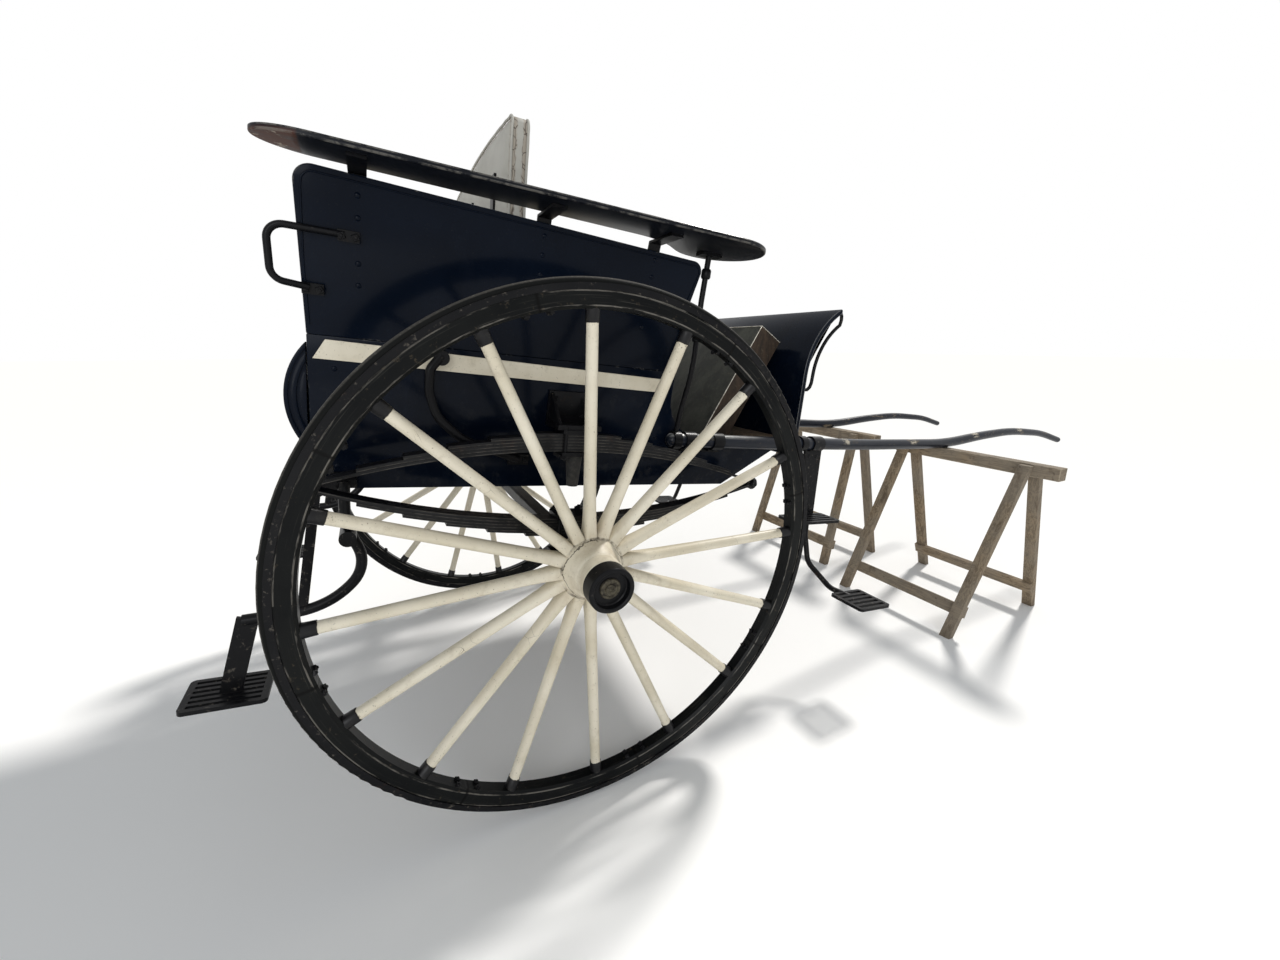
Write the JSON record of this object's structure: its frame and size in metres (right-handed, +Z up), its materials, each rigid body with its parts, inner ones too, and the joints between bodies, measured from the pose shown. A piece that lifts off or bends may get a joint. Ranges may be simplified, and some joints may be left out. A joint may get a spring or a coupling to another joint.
{
  "type": "dog cart",
  "caption": "Two-wheeled horse drawn cart with back-to-back seats on full elliptic springs, its shafts resting on a pair of wooden trestles.",
  "frame": {"origin": "middle of the footprint on the ground, halfway between the ends of the cart, on its middle plane", "axes": "+X forward along the shafts, +Y to the left, +Z up; the cart stands nose down on its trestles"},
  "size_m": [3.8926, 1.7492, 1.8139],
  "materials": {
    "coach_paint": "gloss coach paint over wood, nearly black navy",
    "black_paint": "gloss black paint over wood",
    "cream_paint": "worn cream paint over wood",
    "wing_paint": "black paint over wood, worn to brown at the ends",
    "shaft_paint": "dark paint over bent ash, worn through in places",
    "black_iron": "black painted iron",
    "tyre": "solid rubber",
    "stop_rubber": "moulded rubber",
    "floor_boards": "worn dark boards",
    "seat_cloth": "worn buff cloth over padding",
    "foot_rest_wood": "grey-brown worn wood",
    "trestle_wood": "raw weathered softwood"
  },
  "bodies": {
    "root": {"axle": "black_iron", "axle_clips": "black_iron", "back_irons": "black_iron", "backrest": "seat_cloth", "belt_rails": "cream_paint", "body_brackets": "black_iron", "body_stays": "black_iron", "bump_stops": "stop_rubber", "cross_boards": "coach_paint", "dash": "coach_paint", "dash_irons": "black_iron", "floor": "floor_boards", "foot_rest": "foot_rest_wood", "front_cushion": "seat_cloth", "front_steps": "black_iron", "grab_handles": "black_iron", "rear_cushion": "seat_cloth", "rear_steps": "black_iron", "seat_board": "floor_boards", "shaft_irons": "black_iron", "shaft_left": "shaft_paint", "shaft_right": "shaft_paint", "side_lower_left": "coach_paint", "side_lower_right": "coach_paint", "side_upper_left": "coach_paint", "side_upper_right": "coach_paint", "splinter_bar": "coach_paint", "springs_lower": "black_iron", "springs_upper": "black_iron", "tail_hinges": "black_iron", "trestle_beams": "trestle_wood", "trestle_frames": "trestle_wood", "wing_irons": "black_iron", "wing_left": "wing_paint", "wing_right": "wing_paint"},
    "wheel_right": {"cap_right": "black_iron", "felloe_right": "black_paint", "hub_right": "cream_paint", "rim_right": "black_iron", "tyre_right": "tyre"},
    "wheel_left": {"cap_left": "black_iron", "felloe_left": "black_paint", "hub_left": "cream_paint", "rim_left": "black_iron", "tyre_left": "tyre"},
    "tailboard": {"tailboard": "coach_paint"}
  },
  "joints": [
    {"name": "wheel_right_spin", "type": "hinge", "parent": "root", "child": "wheel_right", "pos_m": [-1.04176, -0.759, 0.67956], "axis": [0.0057, 0.9987, 0.0503], "continuous": true},
    {"name": "wheel_left_spin", "type": "hinge", "parent": "root", "child": "wheel_left", "pos_m": [-1.04176, 0.759, 0.67956], "axis": [-0.0057, 0.9987, -0.0503], "continuous": true},
    {"name": "tailboard_hinge", "type": "hinge", "parent": "root", "child": "tailboard", "pos_m": [-1.60426, 0, 0.8926], "axis": [0, -1, 0], "range_deg": [0, 75]}
  ]
}
